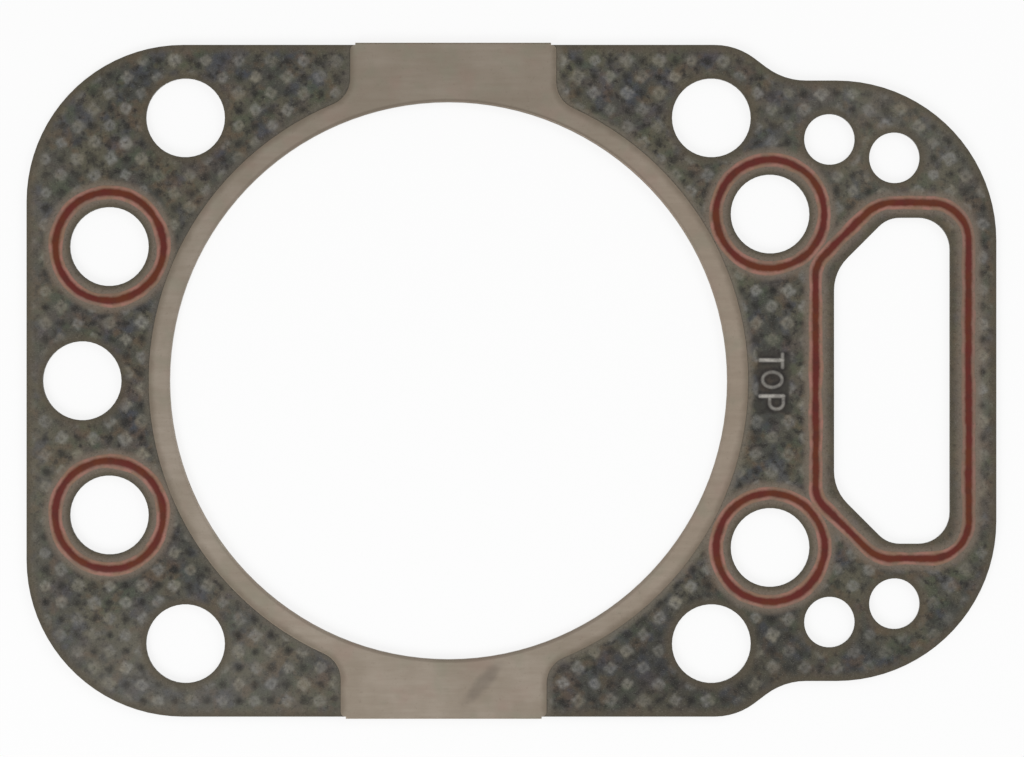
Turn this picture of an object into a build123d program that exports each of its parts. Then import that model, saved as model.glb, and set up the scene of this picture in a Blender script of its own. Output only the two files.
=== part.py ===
from build123d import *
import os
from math import cos, radians, sin, sqrt

# Cylinder head gasket for one cylinder that has a head of its own.
# A sheet steel core is clinched between two soft facings, and every opening is punched
# through all three. A folded sheet steel fire ring lines the cylinder opening. It has an ear
# to the rear and one to the front, and the ends of the ears wrap round the straight edges.
# Silicone beads are printed round the coolant ways and the pushrod window on both faces.
#
# Origin: centre of the cylinder opening, on the plane that rests on the block.
# +X points to the pushrod window, +Y to the rear edge and +Z to the cylinder head.
# All lengths are millimetres and all angles are degrees.

# Cylinder opening and the fire ring that lines it, whose folds there are drawn as a small bevel
bore_diameter = 106.0
flange_width = 4.0
ring_sheet = 0.2
ring_gap = 0.4
ring_bevel = 0.13

# Ears of the fire ring: the blank sits a little turned, so each ear is off centre
ear_width = 39.2
ear_offset = 0.9
ear_root_fillet = 5.3
ear_corner = 1.0
hem_gap = 0.2
hem_depth = 3.5

# Core and facings
core_thickness = 0.25
facing_thickness = 0.55
edge_land = 6.35

# Head bolts on a square round the fire ring, and one more stud hole at the left
bolt_land = 6.21
bolt_hole_diameter = 15.0
stud_hole_diameter = 15.0
stud_land = 5.15
stud_edge_land = 3.05

# Coolant ways, each set off from the fire ring by the land outside its bead, and turned towards
# the rear by its angle from the X axis
coolant_diameter = 15.0
coolant_left_angle = 21.6
coolant_left_land = 1.05
coolant_right_angle = 27.4
coolant_right_land = 0.6

# Pushrod window, whose two corners beside the coolant ways are cut off at 45 degrees
window_land = 16.3
window_width = 22.05
window_height = 62.0
window_near_fillet = 8.7
window_end_fillet = 5.7
window_far_fillet = 6.0

# Silicone beads
bead_width = 2.0
bead_crest = 1.2
bead_height = 0.12
bead_ring_land = 1.8
bead_gap = 0.5
window_bead_side = 3.5
window_bead_end = 2.8
window_bead_near_fillet = 5.0
window_bead_far_fillet = 7.0

# Oil ports, two at each end of the window, placed as steps from its near rear corner
port_diameter = 9.65
near_port_step = (-0.85, 14.9)
far_port_step = (11.5, 11.4)

# Outline
left_corner_radius = 29.8
right_corner_radius = 30.4
lobe_land = 8.8
shoulder_start = 4.8
shoulder_run = 8.95
shoulder_radius = 12.6

# Heights above the block, up from the lower flange of the fire ring
body_bottom = ring_sheet
core_bottom = body_bottom + facing_thickness
core_top = core_bottom + core_thickness
body_top = core_top + facing_thickness
thickness = body_top + ring_sheet

# Radii round the cylinder and round a coolant way
bore_radius = bore_diameter / 2
flange_radius = bore_radius + flange_width
body_bore_radius = bore_radius + ring_sheet + ring_gap
bead_radius = coolant_diameter / 2 + bead_ring_land + bead_width / 2


def coolant_place(angle, land):
    """Centre of a coolant way whose bead leaves the land clear beside the fire ring."""
    reach = flange_radius + land + bead_width / 2 + bead_radius
    return reach * cos(radians(angle)), reach * sin(radians(angle))


# Centres of the holes behind the cylinder: the same ones are mirrored to the front
bolt_side = (flange_radius + bolt_land + bolt_hole_diameter / 2) / sqrt(2)
bolt_left = (-bolt_side, bolt_side)
bolt_right = (bolt_side, bolt_side)
coolant_left = coolant_place(180 - coolant_left_angle, coolant_left_land)
coolant_right = coolant_place(coolant_right_angle, coolant_right_land)
stud_x = -(flange_radius + stud_land + stud_hole_diameter / 2)

# Edges of the window: on its 45 degree sides, x - y is the slant
window_near = flange_radius + window_land
window_far = window_near + window_width
window_end = window_height / 2
bead_pitch = bead_radius + bead_width + bead_gap
window_slant = coolant_right[0] - coolant_right[1] + sqrt(2) * (bead_pitch + window_bead_side)
near_port = (window_near + near_port_step[0], window_end + near_port_step[1])
far_port = (window_near + far_port_step[0], window_end + far_port_step[1])

# Edges of the body
left_edge = stud_x - stud_hole_diameter / 2 - stud_edge_land
right_edge = window_far + lobe_land
rear_edge = bolt_right[1] + bolt_hole_diameter / 2 + edge_land
lobe_edge = near_port[1] + port_diameter / 2 + edge_land
shoulder = bolt_right[0] + shoulder_start
ear_face = rear_edge + hem_gap + ring_sheet
wrap_width = ear_width - 2 * ear_corner


def front_and_rear(*places):
    """The places given, which lie behind the cylinder, and the same ones mirrored to the front."""
    return [(x, side * y) for x, y in places for side in (1, -1)]


def window_line(side, end, near_fillet, end_fillet, far_fillet):
    """Closed line round the window, set out from its long sides and from its ends.

    The two fillets of an end share its straight run, which limits how wide they are.
    """
    near = window_near - side
    far = window_far + side
    top = window_end + end
    slant = window_slant - sqrt(2) * side
    widest = 0.7 * (far - top - slant)
    end_fillet = min(end_fillet, widest)
    far_fillet = min(far_fillet, widest)
    FilletPolyline(
        (near, slant - near),
        (near, near - slant),
        (top + slant, top),
        (far, top),
        (far, -top),
        (top + slant, -top),
        radius=[near_fillet, near_fillet, end_fillet, far_fillet, far_fillet, end_fillet],
        close=True,
    )


def fold_line(face, upper_reach, lower_reach):
    """Section of sheet folded round an edge: its outer face, and how far each leg reaches back."""
    inner = face + (ring_sheet if upper_reach > face else -ring_sheet)
    Polyline(
        (upper_reach, thickness),
        (face, thickness),
        (face, 0),
        (lower_reach, 0),
        (lower_reach, ring_sheet),
        (inner, ring_sheet),
        (inner, thickness - ring_sheet),
        (upper_reach, thickness - ring_sheet),
        close=True,
    )


def bead_line(centre, height):
    """Section of a bead with sloping sides and a flat crest, which is below for a negative height."""
    Polyline(
        (centre - bead_width / 2, 0),
        (centre + bead_width / 2, 0),
        (centre + bead_crest / 2, height),
        (centre - bead_crest / 2, height),
        close=True,
    )


# Plan of the core and the facings, with every opening punched through
with BuildSketch() as body_plan:
    with BuildLine():
        FilletPolyline(
            (left_edge, -rear_edge),
            (left_edge, rear_edge),
            (shoulder, rear_edge),
            (shoulder + shoulder_run, lobe_edge),
            (right_edge, lobe_edge),
            (right_edge, -lobe_edge),
            (shoulder + shoulder_run, -lobe_edge),
            (shoulder, -rear_edge),
            radius=[
                left_corner_radius,
                left_corner_radius,
                shoulder_radius,
                shoulder_radius,
                right_corner_radius,
                right_corner_radius,
                shoulder_radius,
                shoulder_radius,
            ],
            close=True,
        )
    make_face()
    Circle(body_bore_radius, mode=Mode.SUBTRACT)
    with Locations(*front_and_rear(bolt_left, bolt_right)):
        Circle(bolt_hole_diameter / 2, mode=Mode.SUBTRACT)
    with Locations((stud_x, 0)):
        Circle(stud_hole_diameter / 2, mode=Mode.SUBTRACT)
    with Locations(*front_and_rear(coolant_left, coolant_right)):
        Circle(coolant_diameter / 2, mode=Mode.SUBTRACT)
    with Locations(*front_and_rear(near_port, far_port)):
        Circle(port_diameter / 2, mode=Mode.SUBTRACT)
    with BuildLine():
        window_line(0, 0, window_near_fillet, window_end_fillet, window_far_fillet)
    make_face(mode=Mode.SUBTRACT)

# Plan of the upper flange, whose ears run out to where they fold down
with BuildSketch() as flange_plan:
    Circle(flange_radius)
    for side in (1, -1):
        with Locations((side * ear_offset, side * rear_edge / 2)):
            Rectangle(ear_width, rear_edge)
    corners = flange_plan.vertices()
    ear_ends = corners.filter_by(lambda v: abs(v.Y) > rear_edge - ear_corner)
    fillet(corners.filter_by(lambda v: v not in ear_ends), ear_root_fillet)
    ear_ends = flange_plan.vertices().filter_by(lambda v: abs(v.Y) > rear_edge - ear_corner)
    fillet(ear_ends, ear_corner)
    Circle(bore_radius + ring_sheet, mode=Mode.SUBTRACT)

# Steel core between two soft facings
with BuildPart() as facing_bottom:
    with BuildSketch(Plane.XY.offset(body_bottom)):
        add(body_plan.sketch)
    extrude(amount=facing_thickness)

with BuildPart() as steel_core:
    with BuildSketch(Plane.XY.offset(core_bottom)):
        add(body_plan.sketch)
    extrude(amount=core_thickness)

with BuildPart() as facing_top:
    with BuildSketch(Plane.XY.offset(core_top)):
        add(body_plan.sketch)
    extrude(amount=facing_thickness)

# Fire ring: one sheet with two flanges, a wall between them, two ears and their wraps
with BuildPart() as fire_ring:
    with BuildSketch(Plane.XZ):
        with BuildLine():
            fold_line(bore_radius, flange_radius, flange_radius)
        make_face()
    revolve(axis=Axis.Z)
    circles = fire_ring.edges().filter_by(GeomType.CIRCLE)
    bore_folds = circles.filter_by(lambda e: e.radius < bore_radius + ring_sheet / 2)
    chamfer(bore_folds, ring_bevel)
    with BuildSketch(Plane.XY.offset(thickness - ring_sheet)):
        add(flange_plan.sketch)
    extrude(amount=ring_sheet)
    for side in (1, -1):
        upper_reach = side * (rear_edge - ear_corner)
        lower_reach = side * (rear_edge - hem_depth)
        with BuildSketch(Plane.YZ.offset(side * ear_offset)):
            with BuildLine():
                fold_line(side * ear_face, upper_reach, lower_reach)
            make_face()
        extrude(amount=wrap_width / 2, both=True)
    upright = fire_ring.edges().filter_by(Axis.Z)
    low = upright.filter_by(lambda e: e.center().Z < ring_sheet)
    hem_corners = low.filter_by(lambda e: abs(e.center().Y) > flange_radius)
    fillet(hem_corners, ear_corner)
    across = fire_ring.edges().filter_by(Axis.X)
    ear_folds = across.filter_by(lambda e: abs(abs(e.center().Y) - ear_face) < ring_sheet / 2)
    fillet(ear_folds, ring_sheet)

pieces = {
    "facing_bottom": facing_bottom,
    "steel_core": steel_core,
    "facing_top": facing_top,
    "fire_ring": fire_ring,
}

# Silicone beads, printed on the outer face of each facing
for face, level, height in (("top", body_top, bead_height), ("bottom", body_bottom, -bead_height)):
    with BuildPart() as coolant_beads:
        for x, y in front_and_rear(coolant_left, coolant_right):
            with BuildSketch(Plane((x, y, level), x_dir=(1, 0, 0), z_dir=(0, -1, 0))):
                with BuildLine():
                    bead_line(bead_radius, height)
                make_face()
            revolve(axis=Axis((x, y, level), (0, 0, 1)))
    pieces[f"coolant_beads_{face}"] = coolant_beads

    with BuildPart() as window_bead:
        with BuildLine(Plane.XY.offset(level)) as bead_path:
            window_line(
                window_bead_side,
                window_bead_end,
                window_bead_near_fillet,
                window_bead_far_fillet,
                window_bead_far_fillet,
            )
        start = bead_path.wire() @ 0
        ahead = bead_path.wire() % 0
        with BuildSketch(Plane(start, x_dir=Vector(0, 0, 1).cross(ahead), z_dir=ahead)):
            with BuildLine():
                bead_line(0, height)
            make_face()
        sweep(path=bead_path.wire())
    pieces[f"window_bead_{face}"] = window_bead

os.makedirs("parts", exist_ok=True)
for name, piece in pieces.items():
    piece.part.label = name
    export_step(piece.part, f"parts/{name}.step")
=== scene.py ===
"""A composite cylinder head gasket, laid flat on a white floor and seen from straight above.

X runs along the gasket towards its window, Y to the rear and Z up, from the axis of the cylinder opening.
Sizes are in millimetres up to the point where a mesh is made, which is in metres as the frame is.
The floor, the lamps and the camera are placed in metres.
"""

from math import cos, pi, radians, sin, tan

import bpy
import numpy as np
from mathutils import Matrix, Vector, kdtree, noise
from mathutils.geometry import delaunay_2d_cdt

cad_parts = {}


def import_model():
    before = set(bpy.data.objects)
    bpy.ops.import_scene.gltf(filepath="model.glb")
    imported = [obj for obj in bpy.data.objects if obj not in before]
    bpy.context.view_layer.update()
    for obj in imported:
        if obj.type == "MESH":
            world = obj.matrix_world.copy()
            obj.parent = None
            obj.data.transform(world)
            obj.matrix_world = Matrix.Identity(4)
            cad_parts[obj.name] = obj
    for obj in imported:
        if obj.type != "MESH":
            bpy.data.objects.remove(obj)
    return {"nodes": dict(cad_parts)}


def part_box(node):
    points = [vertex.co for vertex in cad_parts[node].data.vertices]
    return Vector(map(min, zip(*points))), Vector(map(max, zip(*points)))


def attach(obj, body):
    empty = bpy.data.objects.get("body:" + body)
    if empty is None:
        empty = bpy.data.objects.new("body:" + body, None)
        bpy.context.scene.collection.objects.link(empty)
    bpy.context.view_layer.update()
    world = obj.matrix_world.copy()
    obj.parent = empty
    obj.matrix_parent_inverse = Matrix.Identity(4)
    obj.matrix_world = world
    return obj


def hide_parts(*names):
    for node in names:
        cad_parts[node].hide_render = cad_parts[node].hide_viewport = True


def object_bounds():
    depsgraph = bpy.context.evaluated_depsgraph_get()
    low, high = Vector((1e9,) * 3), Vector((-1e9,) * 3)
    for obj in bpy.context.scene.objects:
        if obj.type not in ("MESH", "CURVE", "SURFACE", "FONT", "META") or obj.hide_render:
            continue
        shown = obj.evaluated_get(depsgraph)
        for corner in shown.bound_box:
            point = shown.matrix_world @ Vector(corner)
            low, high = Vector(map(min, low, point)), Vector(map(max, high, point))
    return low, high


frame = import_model()
cad_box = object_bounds()
mm = 0.001

# Both sources of chance start from one number, so that each run gives the same result
seed = 11
rng = np.random.default_rng(seed)
noise.seed_set(seed)

# Levels of the gasket, from the frame
upper_facing_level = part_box("facing_top")[1].z / mm
lower_facing_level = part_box("facing_bottom")[0].z / mm
ring_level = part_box("fire_ring")[1].z / mm

# Fire ring, as in the solids, and the slight wave in its faces
bore_radius = 53.0
flange_radius = 57.0
wrap_reach = 63.0
ring_wave = 0.012
ring_wave_size = 9.0
ring_wave_rise = 0.1, 1.5

# Beads, which lie as in the solids
coolant_ways = [(-64.48, 25.53), (-64.48, -25.53), (61.17, 31.71), (61.17, -31.71)]
bead_radius = 10.3
bead_height = 0.12
film_reach = 1.45
window_near, window_far, window_end, window_slant = 73.3, 95.35, 31.0, 52.51
window_bead_side, window_bead_end = 3.5, 2.8
window_bead_near_fillet, window_bead_far_fillet = 5.0, 7.0
window_end_fillet_share = 0.7
bead_wander, bead_wander_size = 0.12, 7.0
bead_swell, bead_swell_size = 0.18, 5.0

# Half of a bead's section, from its film to its top, as distances across and heights
bead_section = [
    (film_reach, -0.02),
    (1.3, 0.012),
    (1.02, 0.026),
    (0.78, 0.042),
    (0.64, 0.082),
    (0.42, 0.108),
    (0.2, 0.118),
    (0, bead_height),
]

# Tangs of the core, which show through the facings
tang_pitch = np.array([6.14, 6.24])
tang_origin = np.array([0.12, 1.606])
tang_repeat = 32
tang_height = 0.08
tang_depth = 0.09
tang_warp = 0.25
tang_wander = 0.09

# Marks over the tangs, and the dimples between them
mark_rim = 0.7, 1.5
mark_least_size, mark_size_spread = 0.88, 0.24
mark_least_strength, mark_strength_spread = 0.65, 0.35
mark_squareness = 0.14
mark_turn = 0.5
petal_strength, petal_rise = 0.12, (0.3, 0.8)
hollow_strength, hollow_radius = 0.55, 0.34
dimple_rim = 0.2, 1.25

# How clear the marks are from place to place, and less so towards the front right corner
clear_mean, clear_spread, clear_size = 0.9, 0.45, 11.0
front_corner_start, front_corner_turn = 105.0, 20.0
front_corner_loss = 0.35

# Distances over which the marks fade in, shorter from edges and beads on the outer strip
ring_fade = 0.2, 1.6
edge_fade, strip_edge_gain = (0.5, 2.4), 1.2
bead_fade, strip_bead_gain = (1.3, 2.6), 0.7
outer_strip_start, outer_strip_turn = 99.0, 1.0

# Panel with the mark that says which side faces the head
panel_centre = np.array([61.8, -0.3])
panel_half = np.array([3.15, 6.1])
panel_depth = 0.07
panel_rim = -0.5, 0.3
panel_fray, panel_fray_size = 0.45, 1.6
letter_height = 0.07
stem_rim = 0.14, 0.5
curve_rim, curve_strength = (0.1, 0.46), 0.56
halo_rim = 0.4, 1.3

# Rounded edges, each as steps inwards and down from the face
board_edge = [(0, 0.1), (0.03, 0.04), (0.09, 0.01), (0.17, 0)]
sheet_edge = [(0, 0.07), (0.02, 0.025), (0.06, 0), (0.1, 0)]
fold_edge = [(0, 0.015), (0.03, 0.003), (0.09, 0)]

# Fineness of the meshes, and how near their grids come to a border
grid_step = 0.39
grid_gap = grid_step * 0.6
panel_step = 0.16
panel_margin = 0.5
border_step = 0.45
flange_cover = 0.6
ring_grid_step = 0.8
ring_grid_gap = 0.5
ring_border_step = 0.6
bead_step = 0.3

# Steps along the lines that distances are measured to
edge_sampling = 0.2
ring_sampling = 0.3
letter_sampling = 0.08

# How closely two places or levels of the solids agree where they are one
digits = 4
same_level = 1e-4


# Geometry in the plane

def smooth(value, low, high):
    """0 below low and 1 above high, with an even turn between them."""
    t = np.clip((value - low) / (high - low), 0, 1)
    return t * t * (3 - 2 * t)


def unevenness(points, size, layer):
    """Smooth noise from -1 to 1 at each point, whose features are about a size."""
    return np.array([noise.noise((x / size, y / size, layer)) for x, y in points])


def border_loops(node, level):
    """Closed outlines of a CAD node's flat face at a level, with the material on their left.

    The widest one, round the outside, comes first, and the holes follow.
    """
    mesh = frame["nodes"][node].data
    places, numbers, sides = [], {}, set()
    for polygon in mesh.polygons:
        corners = [mesh.vertices[i].co / mm for i in polygon.vertices]
        if any(abs(c.z - level) > same_level for c in corners):
            continue
        ids = []
        for corner in corners:
            key = (round(corner.x, digits), round(corner.y, digits))
            if key not in numbers:
                numbers[key] = len(places)
                places.append(key)
            ids.append(numbers[key])
        sides.update(zip(ids, ids[1:] + ids[:1]))
    border = dict(sorted(side for side in sides if side[::-1] not in sides))
    loops = []
    while border:
        first = min(border)
        loop = []
        while first in border:
            loop.append(places[first])
            first = border.pop(first)
        loops.append(np.array(loop))
    return sorted(loops, key=lambda loop: -np.ptp(loop[:, 0]))


def cut(line, step, closed=True):
    """The line with its sides cut to at most a step."""
    ends = np.roll(line, -1, 0) if closed else line[1:]
    points = []
    for start, end in zip(line, ends):
        count = max(1, int(np.ceil(np.hypot(*(end - start)) / step)))
        points += [start + (end - start) * i / count for i in range(count)]
    return np.array(points if closed else points + [line[-1]])


def left_of(line):
    """Direction to the left at each point of a closed line, long enough to keep its sides parallel.

    At a sharp corner it is at most twice as long as elsewhere.
    """
    ahead = np.roll(line, -1, 0) - line
    ahead /= np.hypot(*ahead.T)[:, None]
    behind = np.roll(ahead, 1, 0)
    tangent = ahead + behind
    tangent /= np.hypot(*tangent.T)[:, None]
    spread = np.clip((tangent * ahead).sum(1), 1 / 2, 1)
    return np.column_stack([-tangent[:, 1], tangent[:, 0]]) / spread[:, None]


def distances(points, lines):
    """Distance from each point to the nearest point of the lines."""
    samples = np.concatenate(lines)
    tree = kdtree.KDTree(len(samples))
    for number, (x, y) in enumerate(samples):
        tree.insert((x, y, 0), number)
    tree.balance()
    return np.array([tree.find((x, y, 0))[2] for x, y in points])


def rounded(corners, fillets, step):
    """Closed line through corners, each rounded by its fillet."""
    corners = np.array(corners, float)
    befores, afters = np.roll(corners, 1, 0), np.roll(corners, -1, 0)
    line = []
    for before, corner, after, fillet in zip(befores, corners, afters, fillets):
        to_before = (before - corner) / np.hypot(*(before - corner))
        to_after = (after - corner) / np.hypot(*(after - corner))
        half = np.arccos(np.clip((to_before * to_after).sum(), -1, 1)) / 2
        bisector = (to_before + to_after) / np.hypot(*(to_before + to_after))
        centre = corner + bisector * fillet / sin(half)
        start = corner + to_before * fillet / tan(half) - centre
        end = corner + to_after * fillet / tan(half) - centre
        turn = np.arctan2(start[0] * end[1] - start[1] * end[0], (start * end).sum())
        for angle in np.linspace(0, turn, max(2, int(abs(turn) * fillet / step))):
            c, s = cos(angle), sin(angle)
            line.append(centre + (start[0] * c - start[1] * s, start[0] * s + start[1] * c))
    return cut(np.array(line), step)


def circle(centre, radius, step):
    """Closed round line."""
    angles = np.linspace(0, 2 * pi, int(2 * pi * radius / step), endpoint=False)
    return np.array(centre) + radius * np.column_stack([np.cos(angles), np.sin(angles)])


def window_line(side, end, near_fillet, far_fillet, step):
    """Closed line round the window, set out from its long sides and from its ends."""
    near, far, top = window_near - side, window_far + side, window_end + end
    slant = window_slant - 2**0.5 * side
    corners = [
        (near, slant - near),
        (near, near - slant),
        (top + slant, top),
        (far, top),
        (far, -top),
        (top + slant, -top),
    ]
    end_fillet = min(far_fillet, window_end_fillet_share * (far - top - slant))
    return rounded(
        corners, [near_fillet, near_fillet, end_fillet, far_fillet, far_fillet, end_fillet], step
    )


coolant_bead_lines = [circle(place, bead_radius, bead_step) for place in coolant_ways]
window_bead_line = window_line(
    window_bead_side, window_bead_end, window_bead_near_fillet, window_bead_far_fillet, bead_step
)


# Meshes

def piece(name, vertices, faces, values, material, node, crease=40):
    """Mesh piece in the place of a CAD node, with a value at each vertex for every name in values."""
    mesh = bpy.data.meshes.new(name)
    mesh.from_pydata((np.array(vertices) * mm).tolist(), [], faces)
    mesh.validate()
    for key, value in values.items():
        mesh.attributes.new(key, "FLOAT", "POINT").data.foreach_set("value", np.array(value, np.float32))
    mesh.shade_smooth()
    mesh.set_sharp_from_angle(angle=radians(crease))
    mesh.materials.append(material)
    made = bpy.data.objects.new(name, mesh)
    bpy.context.scene.collection.objects.link(made)
    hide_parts(node)
    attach(made, "root")
    return made


def strip(first, second, count):
    """Quads between two closed rows of vertices that start at these numbers."""
    afters = [(i + 1) % count for i in range(count)]
    return [(first + i, first + after, second + after, second + i) for i, after in enumerate(afters)]


def turning_area(loop):
    """Area of a closed line, which is negative if it runs clockwise."""
    after = np.roll(loop, -1, 0)
    return (loop[:, 0] * after[:, 1] - after[:, 0] * loop[:, 1]).sum() / 2


def points_between(loop, line, level):
    """The points that cut() set between each two corners of a loop, by those corners and the level."""
    found, first = {}, 0
    for corner, after in zip(map(tuple, loop), map(tuple, np.roll(loop, -1, 0))):
        last = first + 1
        while last < len(line) and tuple(line[last]) != after:
            last += 1
        inner = [tuple(point) for point in line[first + 1 : last]]
        found[(*corner, *after, level)] = inner
        found[(*after, *corner, level)] = inner[::-1]
        first = last
    return found


def in_hole(points, loop):
    """Whether each point is in a round or many-sided hole, whose outline has the material on its left."""
    inside = ((points > loop.min(0)) & (points < loop.max(0))).all(1)
    x, y = points[inside].T[:, :, None]
    side_x, side_y = (np.roll(loop, -1, 0) - loop).T
    inside[inside] = (side_x * (y - loop[:, 1]) - side_y * (x - loop[:, 0]) < 0).all(1)
    return inside


def triangles(loops, inner):
    """Triangles that fill the space between the outer loop and its holes, over inner points too."""
    points = [Vector(point) for loop in loops for point in loop] + [Vector(point) for point in inner]
    sides, owner = [], []
    for number, loop in enumerate(loops):
        start, count = len(owner), len(loop)
        sides += [(start + i, start + (i + 1) % count) for i in range(count)]
        owner += [number] * count
    owner += [0] * len(inner)
    within_sides, closest = 1, 1e-7
    _, _, faces, origins, _, _ = delaunay_2d_cdt(points, sides, [], within_sides, closest)
    faces = [tuple(origins[i][0] for i in face) for face in faces]
    return [f for f in faces if owner[f[0]] == 0 or len({owner[i] for i in f}) > 1]


def hexagons(low, high, step):
    """Points of an even grid in a box, in rows that are set off by half a step."""
    rows = np.arange(low[1], high[1], step * 3**0.5 / 2)
    points = [
        (x + (step / 2 if number % 2 else 0), y)
        for number, y in enumerate(rows)
        for x in np.arange(low[0], high[0], step)
    ]
    return np.array(points)


# Facings

def tang_marks(points):
    """How far each point is in the raised mark over a tang, and in a dimple between tangs, from 0 to 1."""
    raised, sunk = np.zeros((2, len(points)))
    warp = tang_warp * np.array([noise.noise_vector((x, y, 0.0))[:2] for x, y in points])
    corner_end = front_corner_start + front_corner_turn
    in_corner = smooth(points[:, 0] - points[:, 1], front_corner_start, corner_end)
    clear = clear_mean + clear_spread * unevenness(points, clear_size, 4.0)
    clear *= 1 - front_corner_loss * in_corner
    for shift in ((0, 0), (0.5, 0.5), (0.5, 0), (0, 0.5)):
        cell = (points - tang_origin) / tang_pitch - shift
        site = np.round(cell).astype(int)
        pick = (site[:, 0] % tang_repeat, site[:, 1] % tang_repeat)
        strength, size, corner, turn = rng.random((4, tang_repeat, tang_repeat))
        wander = rng.normal(0, tang_wander, (tang_repeat, tang_repeat, 2))
        x, y = ((cell - site) * tang_pitch + warp + wander[pick]).T
        angle = np.arctan2(y, x) + mark_turn * (turn[pick] - 0.5)
        radius = np.hypot(x, y) * (1 - mark_squareness * corner[pick] * np.cos(4 * angle))
        radius /= mark_least_size + mark_size_spread * size[pick]
        power = clear * (mark_least_strength + mark_strength_spread * strength[pick])
        if shift[0] == shift[1]:
            petals = 1 + petal_strength * np.cos(4 * angle) * smooth(radius, *petal_rise)
            centre = 1 - hollow_strength * np.exp(-((radius / hollow_radius) ** 2))
            raised = np.maximum(raised, power * petals * centre * (1 - smooth(radius, *mark_rim)))
        else:
            sunk = np.maximum(sunk, power * (1 - smooth(radius, *dimple_rim)))
    return raised, sunk


def letter_lines():
    """Lines of the three letters, whose tops face the window, so that they read towards the front.

    The two stems, which are stamped deepest, come first and the other strokes follow.
    """
    foot, bar_head, bowl_head = 59.2, 63.5, 63.65
    first_stem, last_stem = 3.92, -2.9
    bar_start, bar_end = 5.1, 2.5
    oval_centre, oval_half = (61.55, 0.21), (1.85, 1.45)
    bowl_foot, bowl_middle, bowl_side = 61.05, 62.35, -4.3
    bowl_half, bowl_points = (1.3, 1.1), 12

    oval = circle((0, 0), 1, step=0.1) * oval_half + oval_centre
    bowl = [(bowl_foot, last_stem), (bowl_foot, bowl_side)]
    for angle in np.linspace(pi, 2 * pi, bowl_points):
        bowl.append((bowl_middle + bowl_half[0] * cos(angle), bowl_side + bowl_half[1] * sin(angle)))
    bowl.append((bowl_head, last_stem))
    strokes = [
        [(foot, first_stem), (bar_head, first_stem)],
        [(foot, last_stem), (bowl_head, last_stem)],
        [(bar_head, bar_start), (bar_head, bar_end)],
        bowl,
    ]
    lines = [cut(np.array(stroke), letter_sampling, closed=False) for stroke in strokes]
    return lines[:2], lines[2:] + [oval]


def letter_marks(points):
    """How far each point is in the panel, in a letter and in the shade round the letters, from 0 to 1."""
    beyond = (np.abs(points - panel_centre) - panel_half).max(1)
    beyond += panel_fray * unevenness(points, panel_fray_size, 8.0)
    panel = 1 - smooth(beyond, *panel_rim)
    stems, curves = [distances(points, lines) for lines in letter_lines()]
    curve_stamp = curve_strength - curve_strength * smooth(curves, *curve_rim)
    stamp = np.maximum(1 - smooth(stems, *stem_rim), curve_stamp) * panel
    halo = (1 - smooth(np.minimum(stems, curves), *halo_rim)) * panel
    return panel, stamp, halo


def facing_marks(points, loops, marked):
    """Height of the relief at each point of a facing, and the values that its material reads."""
    ring_loops = border_loops("fire_ring", ring_level)
    ring = distances(points, [cut(loop, ring_sampling) for loop in ring_loops])
    edge = distances(points, [cut(loop, edge_sampling) for loop in loops])
    beads = distances(points, coolant_bead_lines + [window_bead_line])
    panel, stamp, halo = letter_marks(points) if marked else np.zeros((3, len(points)))
    in_strip = smooth(points[:, 0], outer_strip_start, outer_strip_start + outer_strip_turn)
    fade = smooth(edge, edge_fade[0], edge_fade[1] - strip_edge_gain * in_strip)
    fade *= smooth(ring, *ring_fade)
    fade *= smooth(beads, bead_fade[0], bead_fade[1] - strip_bead_gain * in_strip)
    fade *= 1 - panel
    raised, sunk = tang_marks(points)
    height = letter_height * stamp - panel_depth * panel
    height += fade * (tang_height * raised - tang_depth * sunk)
    values = {
        "raised": raised * fade,
        "sunk": sunk * fade,
        "edge": edge,
        "ring": ring,
        "beads": beads,
        "panel": panel,
        "stamp": stamp,
        "halo": halo,
    }
    return height, values


def facing_grid(low, high, borders, marked):
    """Points inside the borders of a facing, closer together on the panel."""
    grid = hexagons(low, high, grid_step)
    if marked:
        on_panel = (np.abs(grid - panel_centre) < panel_half + panel_margin).all(1)
        panel_low = panel_centre - panel_half - panel_margin
        panel_high = panel_centre + panel_half + panel_margin
        grid = np.concatenate([grid[~on_panel], hexagons(panel_low, panel_high, panel_step)])
    grid = grid[np.hypot(*grid.T) > flange_radius - flange_cover]
    for hole in borders[1:]:
        grid = grid[~in_hole(grid, hole)]
    return grid[distances(grid, borders) > grid_gap]


def facing_faces(loops, borders, grid, row_count):
    """Faces of a facing that faces up, and the numbers of the grid's points that they use.

    They are its edge, between rows of vertices that follow the loops, its marked face and its flat back.
    """
    size = sum(map(len, loops))
    last_row = size * (row_count - 1)
    faces, first = [], 0
    for loop in loops:
        for row in range(row_count - 1):
            faces += strip(first + size * row, first + size * (row + 1), len(loop))
        first += len(loop)
    inside = triangles(borders, grid)
    used = sorted({i for face in inside for i in face if i >= size})
    renumber = {old: last_row + size + new for new, old in enumerate(used)}
    renumber.update({i: last_row + i for i in range(size)})
    faces += [tuple(renumber[i] for i in face) for face in inside]
    faces += [face[::-1] for face in triangles(loops, [])]
    return faces, [i - size for i in used]


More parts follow.
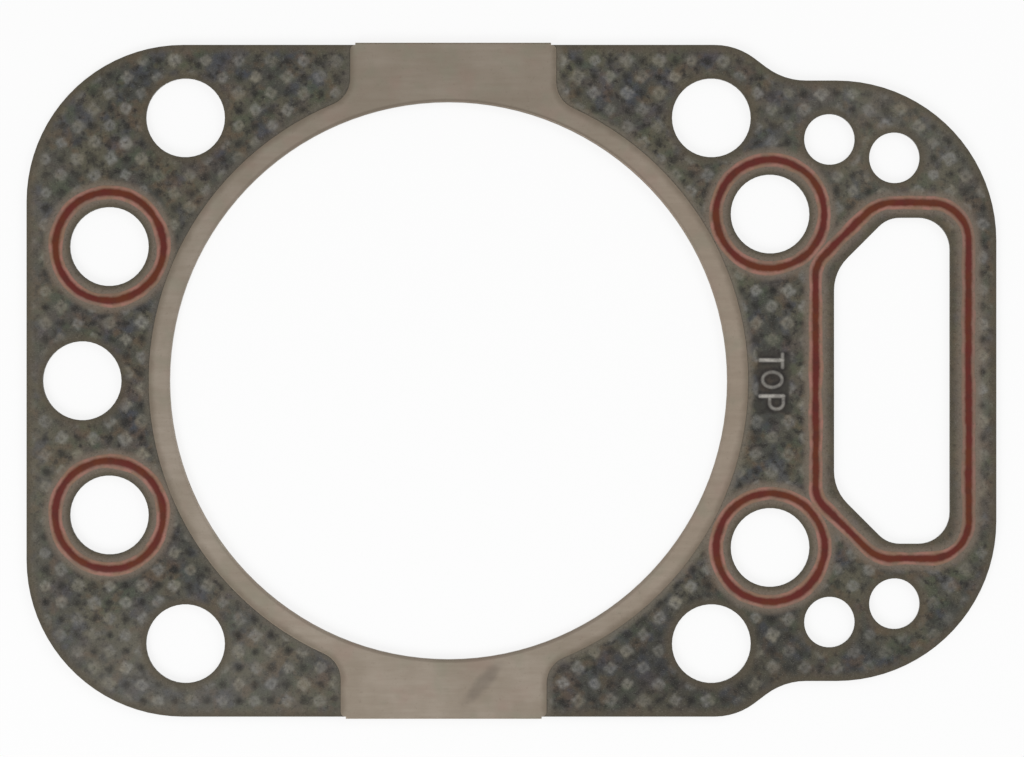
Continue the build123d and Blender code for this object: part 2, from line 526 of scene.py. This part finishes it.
def facing_relief(node, outer, name, material, marked):
    """Facing with its tang marks and rounded punched edges, whose outer face is at the level given."""
    low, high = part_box(node)
    inner = (low.z if outer > (low.z + high.z) / 2 / mm else high.z) / mm
    side = 1 if outer > inner else -1
    loops = [cut(loop, border_step) for loop in border_loops(node, high.z / mm)]
    edge_steps = [(0, abs(outer - inner)), *board_edge]
    rows = [np.concatenate([loop + left_of(loop) * inset for loop in loops]) for inset, _ in edge_steps]
    borders = [loop + left_of(loop) * edge_steps[-1][0] for loop in loops]
    grid = facing_grid((low.x / mm, low.y / mm), (high.x / mm, high.y / mm), borders, marked)
    faces, used = facing_faces(loops, borders, grid, len(rows))
    points = np.concatenate([*rows, grid[used]])
    drops = [np.full(len(row), depth) for row, (_, depth) in zip(rows, edge_steps)]
    drop = np.concatenate([*drops, np.zeros(len(used))])
    height, values = facing_marks(points, loops, marked)
    vertices = np.column_stack([points, outer + side * (height - drop)])
    faces = [face[::side] for face in faces]
    return piece(name, vertices, faces, values, material, node)


# Fire ring

class Sheet:
    """The fire ring's mesh as it grows, with vertices that are found by their place.

    A side is 1 for the upper outer face and -1 for the lower one.
    """

    def __init__(self):
        self.numbers = {}
        self.faces = []
        self.between = {}
        self.drops = {}

    def number(self, x, y, z):
        """Number of the vertex at a place, which is made if it isn't there."""
        key = (round(float(x), digits), round(float(y), digits), round(float(z), digits))
        return self.numbers.setdefault(key, len(self.numbers))

    def edge(self, loop, edge_steps, level, side):
        """Rounded edge along a border of a flat face. Gives the line where it meets the face."""
        line = cut(loop, ring_border_step)
        for place in map(tuple, loop):
            self.drops[(*place, level)] = edge_steps[0][1]
        self.between.update(points_between(loop, line, level))
        rows = [line + left_of(line) * inset for inset, _ in edge_steps]
        ids = [
            [self.number(x, y, level - side * drop) for x, y in row]
            for row, (_, drop) in zip(rows, edge_steps)
        ]
        for first, second in zip(ids, ids[1:]):
            for quad in zip(first, first[1:] + first[:1], second[1:] + second[:1], second):
                self.faces.append(quad[::side])
        return rows[-1]

    def flat_face(self, outer, holes, level, side):
        """Flat face between a border and holes, with rounded edges and a slight wave."""
        edges = [(outer, sheet_edge)] + [(hole, fold_edge) for hole in holes]
        lines = [self.edge(loop, edge_steps, level, side) for loop, edge_steps in edges]
        grid = hexagons(outer.min(0), outer.max(0), ring_grid_step)
        for hole in lines[1:]:
            grid = grid[~in_hole(grid, hole)]
        grid = grid[distances(grid, [cut(line, ring_sampling) for line in lines]) > ring_grid_gap]
        points = np.concatenate([*lines, grid])
        wave = unevenness(points, ring_wave_size, level)
        wave *= smooth(distances(points, [cut(loop, edge_sampling) for loop, _ in edges]), *ring_wave_rise)
        wave[: len(points) - len(grid)] = 0
        ids = [self.number(x, y, level - side * ring_wave * abs(w)) for (x, y), w in zip(points, wave)]
        self.faces += [tuple(ids[i] for i in face)[::side] for face in triangles(lines, grid)]

    def walls(self, sides):
        """The CAD node's other faces, joined to the rounded edges. Sides are found by their level."""
        mesh = frame["nodes"]["fire_ring"].data
        for polygon in mesh.polygons:
            corners, levels = [], []
            for i in polygon.vertices:
                x, y, z = mesh.vertices[i].co / mm
                corners.append((round(x, digits), round(y, digits), z))
                levels.append(next((level for level in sides if abs(z - level) < same_level), None))
            if None not in levels and len(set(levels)) == 1:
                continue
            face = []
            afters = zip(corners[1:] + corners[:1], levels[1:] + levels[:1])
            for (x, y, z), level, (after, level_after) in zip(corners, levels, afters):
                drop = self.drops.get((x, y, level), 0) * sides.get(level, 0)
                face.append(self.number(x, y, z - drop))
                if level is not None and level == level_after:
                    line = self.between.get((x, y, *after[:2], level), [])
                    face += [self.number(*point, level - drop) for point in line]
            self.faces.append(tuple(face))


def fire_ring(material):
    """The folded sheet, with the distances from its rims and from the bore that its material reads.

    Rims past the wraps' reach don't count, because the sheet is folded round the board there.
    """
    low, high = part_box("fire_ring")
    sides = {high.z / mm: 1, low.z / mm: -1}
    rims = {1: [], -1: []}
    sheet = Sheet()
    for level, side in sides.items():
        loops = [loop[::side] for loop in border_loops("fire_ring", level)]
        outers = [loop for loop in loops if turning_area(loop) > 0]
        holes = [loop for loop in loops if turning_area(loop) < 0]
        for outer in outers:
            sheet.flat_face(outer, holes if outer is outers[0] else [], level, side)
            rim = cut(outer, edge_sampling)
            rims[side].append(rim[np.abs(rim[:, 1]) < wrap_reach])
    sheet.walls(sides)

    vertices = np.array(list(sheet.numbers))
    upper = vertices[:, 2] > (low.z + high.z) / 2 / mm
    edge = np.zeros(len(vertices))
    for side, here in ((1, upper), (-1, ~upper)):
        edge[here] = distances(vertices[here, :2], rims[side])
    values = {"edge": edge, "bore": np.hypot(*vertices[:, :2].T) - bore_radius}
    return piece(
        "fire_ring_sheet", vertices, sheet.faces, values, material, "fire_ring", crease=50
    )


# Beads

def bead(name, lines, level, side, material, node):
    """Printed silicone beads: a domed line with a thin film along both its sides."""
    section = bead_section + [(-across, height) for across, height in bead_section[-2::-1]]
    vertices, faces, across_values = [], [], []
    for line in lines:
        left = left_of(line)
        count = len(line)
        shift = bead_wander * unevenness(line, bead_wander_size, 2.0)
        width = 1 + bead_swell * unevenness(line, bead_swell_size, 6.0)
        first = len(vertices)
        for across, height in section:
            place = line + left * (across * width + shift)[:, None]
            vertices += [(x, y, level + side * height) for x, y in place]
            across_values += [abs(across) / film_reach] * count
        for row in range(len(section) - 1):
            quads = strip(first + row * count, first + (row + 1) * count, count)
            faces += [quad[::-side] for quad in quads]
    return piece(name, vertices, faces, {"across": across_values}, material, node, crease=80)


# Materials

def srgb(red, green, blue):
    """Linear colour for an 8-bit screen colour."""
    parts = [c / 255 for c in (red, green, blue)]
    return tuple(c / 12.92 if c < 0.04045 else ((c + 0.055) / 1.055) ** 2.4 for c in parts) + (1,)


class Shader:
    """A material with one Principled surface, and short calls for the nodes that feed it."""

    def __init__(self, name, roughness, metallic=0.0, specular=0.5):
        self.material = bpy.data.materials.new(name)
        self.material.use_nodes = True
        self.tree = self.material.node_tree
        self.surface = self.tree.nodes["Principled BSDF"]
        self.surface.inputs["Roughness"].default_value = roughness
        self.surface.inputs["Metallic"].default_value = metallic
        self.surface.inputs["Specular IOR Level"].default_value = specular
        self.place = self.node("ShaderNodeTexCoord").outputs["Object"]

    def node(self, kind, **inputs):
        """New node, with its inputs given by name."""
        made = self.tree.nodes.new(kind)
        for key, value in inputs.items():
            self.feed(made.inputs[key.replace("_", " ")], value)
        return made

    def feed(self, socket, value):
        """Links a node's output to a socket, or sets the socket to a plain value."""
        if isinstance(value, bpy.types.NodeSocket):
            self.tree.links.new(value, socket)
        else:
            socket.default_value = value

    def noise(self, size, detail=3.0, roughness=0.55, stretch=(1, 1, 1)):
        """Noise from 0 to 1 whose features are about a size in millimetres."""
        mapping = self.node("ShaderNodeMapping", Vector=self.place, Scale=stretch)
        made = self.node("ShaderNodeTexNoise", Vector=mapping.outputs[0], Scale=1 / (size * mm))
        made.inputs["Detail"].default_value = detail
        made.inputs["Roughness"].default_value = roughness
        return made.outputs["Fac"]

    def value(self, name):
        """Value that the mesh carries at its vertices."""
        made = self.node("ShaderNodeAttribute")
        made.attribute_name = name
        return made.outputs["Fac"]

    def maths(self, operation, first, second=0.0):
        """Arithmetic on two values."""
        made = self.tree.nodes.new("ShaderNodeMath")
        made.operation = operation
        self.feed(made.inputs[0], first)
        self.feed(made.inputs[1], second)
        return made.outputs[0]

    def step(self, value, low, high, start=0.0, end=1.0):
        """Start below low, end above high, with an even turn between them."""
        made = self.node(
            "ShaderNodeMapRange", Value=value, From_Min=low, From_Max=high, To_Min=start, To_Max=end
        )
        made.interpolation_type = "SMOOTHSTEP"
        return made.outputs[0]

    def frayed(self, value, reach, size, detail=3, roughness=0.55):
        """The value with noise added, which moves it by up to half a reach either way."""
        balanced = self.maths("SUBTRACT", self.noise(size, detail, roughness), 0.5)
        return self.maths("ADD", value, self.maths("MULTIPLY", balanced, reach))

    def along(self, axis):
        """Place along one axis, in metres."""
        return self.node("ShaderNodeSeparateXYZ", Vector=self.place).outputs[axis]

    def patch(self, centre, size, turn=0):
        """1 in the middle of an oval in the plane, of a half size in millimetres, and 0 outside it."""
        mapping = self.node("ShaderNodeMapping", Vector=self.place)
        mapping.vector_type = "TEXTURE"
        mapping.inputs["Location"].default_value = (centre[0] * mm, centre[1] * mm, 0)
        mapping.inputs["Rotation"].default_value = (0, 0, radians(turn))
        mapping.inputs["Scale"].default_value = (size[0] * mm, size[1] * mm, 1)
        length = self.tree.nodes.new("ShaderNodeVectorMath")
        length.operation = "LENGTH"
        self.feed(length.inputs[0], mapping.outputs[0])
        return self.step(length.outputs["Value"], 0.2, 1, 1, 0)

    def mix(self, factor, first, second):
        """Mixes two colours, by the sockets that the node has for colours."""
        made = self.tree.nodes.new("ShaderNodeMix")
        made.data_type = "RGBA"
        self.feed(made.inputs[0], factor)
        self.feed(made.inputs[6], first)
        self.feed(made.inputs[7], second)
        return made.outputs[2]

    def tint(self, colour, share, strength, other):
        """The colour with another one over it, as strong as share times strength."""
        return self.mix(self.maths("MULTIPLY", share, strength), colour, other)

    def bump(self, height, strength, distance):
        """Fine relief, of a distance in millimetres, on the surface."""
        made = self.node("ShaderNodeBump", Height=height, Strength=strength, Distance=distance * mm)
        self.feed(self.surface.inputs["Normal"], made.outputs[0])

    def paint(self, colour):
        """Sets the base colour."""
        self.feed(self.surface.inputs["Base Color"], colour)


def fibre_colour(s):
    """Dark olive grey, mottled in faint tints and with dark pores."""
    grey, olive, pore = srgb(67, 67, 61), srgb(87, 83, 69), srgb(38, 36, 33)
    blue, green, brown, pink = srgb(62, 66, 79), srgb(70, 80, 60), srgb(95, 77, 59), srgb(88, 74, 73)
    colour = s.mix(s.step(s.noise(8, 3), 0.38, 0.62), grey, olive)
    colour = s.mix(s.step(s.noise(4.4, 2), 0.5, 0.7, end=0.6), colour, blue)
    colour = s.mix(s.step(s.noise(3.8, 2), 0.5, 0.7, end=0.5), colour, green)
    colour = s.mix(s.step(s.noise(3.3, 2), 0.5, 0.7, end=0.6), colour, brown)
    colour = s.mix(s.step(s.noise(5.2, 2), 0.48, 0.68, end=0.35), colour, pink)
    return s.mix(s.step(s.noise(1.3, 3), 0.47, 0.72, end=0.85), colour, pore)


def fibre_wear(s, colour):
    """The colour with broad areas worn pale or stained, browner borders, and a band round the fire ring
    that is partly painted shadow of its proud flange and partly brown discolour.
    """
    worn_corner = s.patch(centre=(-52, -58), size=(42, 24))
    colour = s.tint(colour, worn_corner, 0.36, srgb(116, 112, 104))
    left_border = s.step(s.along("X"), -81 * mm, -69 * mm, 0.3, 0)
    colour = s.mix(left_border, colour, srgb(116, 110, 98))
    rear_corner = s.patch(centre=(84, 50), size=(34, 24))
    colour = s.tint(colour, rear_corner, 0.24, srgb(116, 112, 102))
    stained_front = s.patch(centre=(50, -54), size=(40, 22))
    colour = s.tint(colour, stained_front, 0.42, srgb(46, 44, 40))

    border = s.step(s.value("edge"), 0.4, 2.2, 0.55, 0)
    colour = s.mix(border, colour, srgb(91, 81, 65))
    outer_strip = s.patch(centre=(100.4, 0), size=(3.2, 38))
    colour = s.tint(colour, outer_strip, 0.55, srgb(119, 112, 101))
    # Band round the fire ring: partly painted shadow of the flange standing proud of the facing, and
    # partly brown discolour; darker on the left, paler on the right.
    left_of_ring, right_of_ring = srgb(96, 90, 80), srgb(124, 115, 102)
    ring_shadow_and_stain = s.mix(s.step(s.along("X"), -20 * mm, 50 * mm), left_of_ring, right_of_ring)
    return s.mix(s.step(s.value("ring"), 0.2, 1.7, 0.6, 0), colour, ring_shadow_and_stain)


def fibre_marks(s, colour):
    """The colour with dark dimples, pale marks over the tangs, bands beside the beads and fine specks."""
    colour = s.tint(colour, s.value("sunk"), 0.95, srgb(34, 32, 29))
    grain = s.step(s.noise(0.7, 3, 0.6), 0.3, 0.7, 0.5, 1.0)
    pale = s.mix(s.step(s.noise(6, 2), 0.35, 0.65), srgb(144, 143, 140), srgb(144, 138, 122))
    colour = s.tint(colour, s.maths("MULTIPLY", s.value("raised"), grain), 0.7, pale)
    band = s.step(s.value("beads"), 1.4, 3.0, 0.75, 0)
    colour = s.mix(band, colour, srgb(120, 107, 94))
    specks = s.step(s.noise(0.5, 3, 0.7), 0.5, 0.75, end=0.5)
    colour = s.mix(specks, colour, srgb(42, 39, 34))
    flecks = s.step(s.noise(0.3, 3, 0.6, (1, 2.5, 1)), 0.56, 0.7, end=0.3)
    return s.mix(flecks, colour, srgb(150, 145, 136))


def panel_print(s, colour):
    """The colour with the dark panel, the shade round its letters and the worn letters."""
    colour = s.tint(colour, s.value("panel"), 0.62, srgb(48, 45, 41))
    shade = s.step(s.noise(1.6, 3), 0.35, 0.65, 0.3, 1.0)
    colour = s.tint(colour, s.value("halo"), shade, srgb(36, 32, 30))
    worn = s.step(s.noise(1.2, 3), 0.35, 0.6, 0.6, 1.0)
    return s.tint(colour, s.value("stamp"), worn, srgb(168, 164, 157))


def facing_material():
    """Soft fibre sheet, darker along its rims."""
    s = Shader("facing", roughness=0.66, specular=0.25)
    colour = panel_print(s, fibre_marks(s, fibre_wear(s, fibre_colour(s))))
    s.paint(s.mix(s.step(s.value("edge"), 0.2, 1.0, 0.36, 0), colour, srgb(74, 69, 56)))
    fibres = s.maths("ADD", s.noise(0.3, 4, 0.7, (1, 2, 1)), s.noise(1.3, 2))
    s.bump(fibres, strength=0.8, distance=0.08)
    return s.material


def steel_colour(s):
    """Warm grey, a little darker to the rear in painted shade, and paler to the right, with faint streaks
    and tints.
    """
    grey, pale_grey = srgb(153, 141, 126), srgb(165, 153, 139)
    rear, right = srgb(132, 122, 108), srgb(170, 153, 136)
    streak, spot = srgb(132, 118, 102), srgb(112, 98, 84)
    pink, green = srgb(156, 132, 120), srgb(140, 138, 120)
    colour = s.mix(s.step(s.noise(11, 3), 0.35, 0.65), grey, pale_grey)
    # Painted shade: the rear of the ring is darkened, as if less light fell there.
    colour = s.mix(s.step(s.along("Y"), 10 * mm, 60 * mm, 0, 0.3), colour, rear)
    colour = s.mix(s.step(s.along("X"), 20 * mm, 50 * mm, 0, 0.5), colour, right)
    colour = s.mix(s.step(s.noise(1.0, 4, 0.6, (0.12, 1, 1)), 0.3, 0.7, end=0.25), colour, streak)
    colour = s.mix(s.step(s.noise(0.5, 3), 0.58, 0.8, end=0.3), colour, spot)
    colour = s.mix(s.step(s.noise(7, 2), 0.5, 0.7, end=0.35), colour, pink)
    return s.mix(s.step(s.noise(5, 2), 0.5, 0.7, end=0.35), colour, green)


def ring_material():
    """Satin sheet steel, browner at its rims, with painted shade along the folded bore edge, strongest at
    the front and rear, and a smear on the front ear.
    """
    s = Shader("ring_steel", roughness=0.42, metallic=0.55)
    smear = s.frayed(s.patch(centre=(6.6, -57.4), size=(2.4, 8.8), turn=-42), reach=1.2, size=3.5)
    colour = s.mix(s.step(smear, 0.15, 1.4, end=0.5), steel_colour(s), srgb(100, 91, 83))
    rim = s.frayed(s.value("edge"), reach=1.2, size=2.5)
    colour = s.mix(s.step(rim, 0, 1.5, 0.55, 0), colour, srgb(104, 92, 76))
    # Painted shade: the folded bore edge is darkened brown, weakly at the sides and most at the front and
    # rear, where less light falls on it.
    fold_shade = s.step(s.value("bore"), 0.35, 0.75, 1, 0)
    front_and_rear = s.step(s.maths("ABSOLUTE", s.along("Y")), 20 * mm, 52 * mm, 0.08, 0.4)
    s.paint(s.tint(colour, fold_shade, front_and_rear, srgb(96, 82, 70)))
    s.bump(s.noise(0.5, 3, 0.6, (0.15, 1, 1)), strength=0.25, distance=0.01)
    return s.material


def core_material():
    """Plain cut steel, seen only at the punched edges."""
    s = Shader("core_steel", roughness=0.4, metallic=0.8)
    s.paint(s.mix(s.step(s.noise(1.2, 3), 0.3, 0.7), srgb(128, 124, 118), srgb(168, 164, 156)))
    s.bump(s.noise(0.15, 3), strength=0.3, distance=0.02)
    return s.material


def bead_material():
    """Red brown silicone: dark where it is thick, and paler in the film at its sides."""
    s = Shader("bead", roughness=0.45, specular=0.3)
    across = s.frayed(s.value("across"), reach=0.4, size=2.0, detail=4, roughness=0.65)
    core = s.mix(s.step(s.noise(7, 3), 0.4, 0.6), srgb(92, 27, 19), srgb(93, 38, 9))
    core = s.mix(s.step(s.noise(2.2, 3), 0.45, 0.7, end=0.5), core, srgb(74, 30, 20))
    worn_film, outer_film = srgb(110, 97, 84), srgb(116, 96, 84)
    film = s.mix(s.step(s.noise(2.5, 3), 0.35, 0.65), srgb(154, 109, 97), srgb(134, 104, 84))
    film = s.mix(s.step(s.noise(3.5, 3), 0.45, 0.7, end=0.6), film, worn_film)
    film = s.mix(s.step(s.along("X"), 94 * mm, 98 * mm, 0, 0.5), film, outer_film)
    colour = s.mix(s.step(across, 0.25, 0.68), core, film)
    colour = s.mix(s.step(across, 0.72, 1.05), colour, worn_film)
    s.paint(s.mix(s.step(s.noise(0.4, 3), 0.55, 0.8, end=0.35), colour, srgb(48, 34, 28)))
    s.bump(s.noise(0.5, 3), strength=0.3, distance=0.03)
    return s.material


# Pieces of the gasket

facing = facing_material()
silicone = bead_material()
facing_relief("facing_top", upper_facing_level, "upper_facing", facing, marked=True)
facing_relief("facing_bottom", lower_facing_level, "lower_facing", facing, marked=False)
for face, level, side in (("top", upper_facing_level, 1), ("bottom", lower_facing_level, -1)):
    bead(f"coolant_bead_lines_{face}", coolant_bead_lines, level, side, silicone, f"coolant_beads_{face}")
    bead(f"window_bead_line_{face}", [window_bead_line], level, side, silicone, f"window_bead_{face}")

fire_ring(ring_material())
core = frame["nodes"]["steel_core"]
core.data.materials.clear()
core.data.materials.append(core_material())


# Floor, light and camera

def floor_material():
    """White floor that keeps a soft shadow. Camera and mirror rays also see it glow."""
    white, glow_share = (0.92, 0.92, 0.92, 1), 0.82
    s = Shader("floor", roughness=0.9, specular=0)
    s.paint(white)
    rays = s.node("ShaderNodeLightPath").outputs
    seen = s.maths("MAXIMUM", rays["Is Camera Ray"], rays["Is Glossy Ray"])
    mix = s.node("ShaderNodeMixShader")
    s.feed(mix.inputs[0], s.maths("MULTIPLY", seen, glow_share))
    s.feed(mix.inputs[1], s.surface.outputs[0])
    s.feed(mix.inputs[2], s.node("ShaderNodeEmission").outputs[0])
    s.feed(s.tree.nodes["Material Output"].inputs["Surface"], mix.outputs[0])
    return s.material


def floor():
    """Wide plane just under the gasket."""
    reach, gap = 2.0, 0.02 * mm
    level = cad_box[0].z - gap
    corners = [(-1, -1), (1, -1), (1, 1), (-1, 1)]
    mesh = bpy.data.meshes.new("floor")
    mesh.from_pydata([(reach * x, reach * y, level) for x, y in corners], [], [(0, 1, 2, 3)])
    mesh.materials.append(floor_material())
    made = bpy.data.objects.new("floor", mesh)
    bpy.context.scene.collection.objects.link(made)


def world():
    """Even white surroundings, at half strength as light and at full white for the camera."""
    made = bpy.data.worlds.new("studio")
    made.use_nodes = True
    bpy.context.scene.world = made
    nodes, links = made.node_tree.nodes, made.node_tree.links
    light = nodes["Background"]
    light.inputs["Color"].default_value = (1, 1, 1, 1)
    light.inputs["Strength"].default_value = 0.5
    white = nodes.new("ShaderNodeBackground")
    white.inputs["Color"].default_value = (1, 1, 1, 1)
    seen = nodes.new("ShaderNodeLightPath")
    mix = nodes.new("ShaderNodeMixShader")
    links.new(seen.outputs["Is Camera Ray"], mix.inputs[0])
    links.new(light.outputs[0], mix.inputs[1])
    links.new(white.outputs[0], mix.inputs[2])
    links.new(mix.outputs[0], nodes["World Output"].inputs["Surface"])


def lamp(name, place, size, power):
    """Soft square lamp that faces the gasket, in metres and watts."""
    data = bpy.data.lights.new(name, "AREA")
    data.size, data.energy = size, power
    made = bpy.data.objects.new(name, data)
    made.location = place
    made.rotation_mode = "QUATERNION"
    made.rotation_quaternion = (-Vector(place)).to_track_quat("-Z", "Y")
    bpy.context.scene.collection.objects.link(made)


def camera():
    """Long lens straight above the gasket, with the rear at the top of the picture."""
    middle_x, middle_y, frame_width = 12.08 * mm, 0.43 * mm, 194.56 * mm
    lens, sensor = 135.0, 36.0
    data = bpy.data.cameras.new("camera")
    data.lens, data.sensor_width = lens, sensor
    made = bpy.data.objects.new("camera", data)
    made.location = (middle_x, middle_y, ring_level * mm + frame_width * lens / sensor)
    bpy.context.scene.collection.objects.link(made)
    bpy.context.scene.camera = made


floor()
world()
lamp("key", place=(-0.3, -0.5, 0.6), size=0.45, power=3.2)
lamp("fill", place=(0.5, 0.35, 0.6), size=0.45, power=1.8)
camera()
bpy.context.scene.view_settings.view_transform = "Standard"
